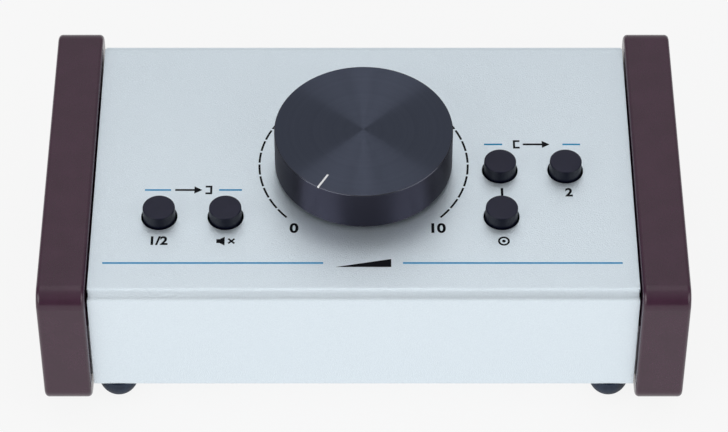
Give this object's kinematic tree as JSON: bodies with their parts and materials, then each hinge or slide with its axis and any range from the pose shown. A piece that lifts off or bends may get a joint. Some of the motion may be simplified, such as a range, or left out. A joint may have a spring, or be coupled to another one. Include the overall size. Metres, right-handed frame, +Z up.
{
  "type": "studio monitor controller",
  "caption": "Low sloped metal box between dark wooden cheeks, with one large volume knob and round push buttons that route stereo signals to studio loudspeakers.",
  "frame": {"origin": "on the table, at the centre of the footprint of the two cheeks", "axes": "+X to the right as the user faces the controls, -Y towards the user (the front wall faces -Y), +Z up"},
  "size_m": [0.1784, 0.1046, 0.0618],
  "materials": {
    "silver_paint": "fine-textured silver paint",
    "tray_steel": "zinc-plated sheet",
    "lacquer": "satin lacquer, dark red-brown",
    "foot_rubber": "matt",
    "screw_steel": "zinc-plated",
    "board_laminate": "solder resist over glass-epoxy laminate",
    "post_brass": "machined",
    "nut_steel": "nickel-plated",
    "contact_tin": "tin-plated",
    "ribbon_grey": "flat cable sheath",
    "black_moulding": "moulded",
    "pot_metal": "nickel-plated",
    "black_anodised": "turned and black anodised",
    "white_fill": "paint fill",
    "cap_black": "moulded, satin",
    "plunger_white": "moulded",
    "spring_steel": "spring wire"
  },
  "bodies": {
    "case": {"case_shell": "silver_paint", "base_tray": "tray_steel", "cheek_left": "lacquer", "cheek_right": "lacquer", "foot_front_left": "foot_rubber", "foot_front_right": "foot_rubber", "foot_rear_left": "foot_rubber", "foot_rear_right": "foot_rubber", "bottom_screws": "screw_steel", "cheek_screws": "screw_steel", "control_board": "board_laminate", "control_board_posts": "post_brass", "jack_board": "board_laminate", "jack_board_posts": "post_brass", "board_screws": "screw_steel", "jack_nuts": "nut_steel", "jack_contacts": "contact_tin", "board_headers": "black_moulding", "ribbon_cable": "ribbon_grey", "pot_housing": "pot_metal", "pot_bushing": "pot_metal", "pot_tracks": "black_moulding", "pot_pins": "contact_tin", "pot_washer": "nut_steel", "pot_nut": "nut_steel", "switch_pins": "contact_tin", "jack_1": "black_moulding", "jack_2": "black_moulding", "jack_3": "black_moulding", "jack_4": "black_moulding", "jack_5": "black_moulding", "jack_6": "black_moulding", "jack_7": "black_moulding", "jack_8": "black_moulding", "switch_input": "black_moulding", "spring_input": "spring_steel", "switch_mute": "black_moulding", "spring_mute": "spring_steel", "switch_mono": "black_moulding", "spring_mono": "spring_steel", "switch_output_a": "black_moulding", "spring_output_a": "spring_steel", "switch_output_b": "black_moulding", "spring_output_b": "spring_steel"},
    "volume_knob": {"knob": "black_anodised", "knob_pointer": "white_fill", "knob_insert": "post_brass", "knob_grub_screw": "screw_steel", "pot_shaft": "pot_metal", "pot_wipers": "black_moulding"},
    "button_input": {"cap_input": "cap_black", "plunger_input": "plunger_white"},
    "button_mute": {"cap_mute": "cap_black", "plunger_mute": "plunger_white"},
    "button_mono": {"cap_mono": "cap_black", "plunger_mono": "plunger_white"},
    "button_output_a": {"cap_output_a": "cap_black", "plunger_output_a": "plunger_white"},
    "button_output_b": {"cap_output_b": "cap_black", "plunger_output_b": "plunger_white"}
  },
  "joints": [
    {"name": "volume_turn", "type": "hinge", "parent": "case", "child": "volume_knob", "pos_m": [0, -0.00025, 0.04646], "axis": [0, 0.0506, -0.9987], "range_deg": [0, 300]},
    {"name": "press_input", "type": "slide", "parent": "case", "child": "button_input", "axis": [0, 0.0506, -0.9987], "range_m": [0, 0.0025], "stiffness_N_per_m": 400, "springref_m": -0.002, "deforming": ["spring_input"]},
    {"name": "press_mute", "type": "slide", "parent": "case", "child": "button_mute", "axis": [0, 0.0506, -0.9987], "range_m": [0, 0.0025], "stiffness_N_per_m": 400, "springref_m": -0.002, "deforming": ["spring_mute"]},
    {"name": "press_mono", "type": "slide", "parent": "case", "child": "button_mono", "axis": [0, 0.0506, -0.9987], "range_m": [0, 0.0025], "stiffness_N_per_m": 400, "springref_m": -0.002, "deforming": ["spring_mono"]},
    {"name": "press_output_a", "type": "slide", "parent": "case", "child": "button_output_a", "axis": [0, 0.0506, -0.9987], "range_m": [0, 0.0025], "stiffness_N_per_m": 400, "springref_m": -0.002, "deforming": ["spring_output_a"]},
    {"name": "press_output_b", "type": "slide", "parent": "case", "child": "button_output_b", "axis": [0, 0.0506, -0.9987], "range_m": [0, 0.0025], "stiffness_N_per_m": 400, "springref_m": -0.002, "deforming": ["spring_output_b"]}
  ]
}
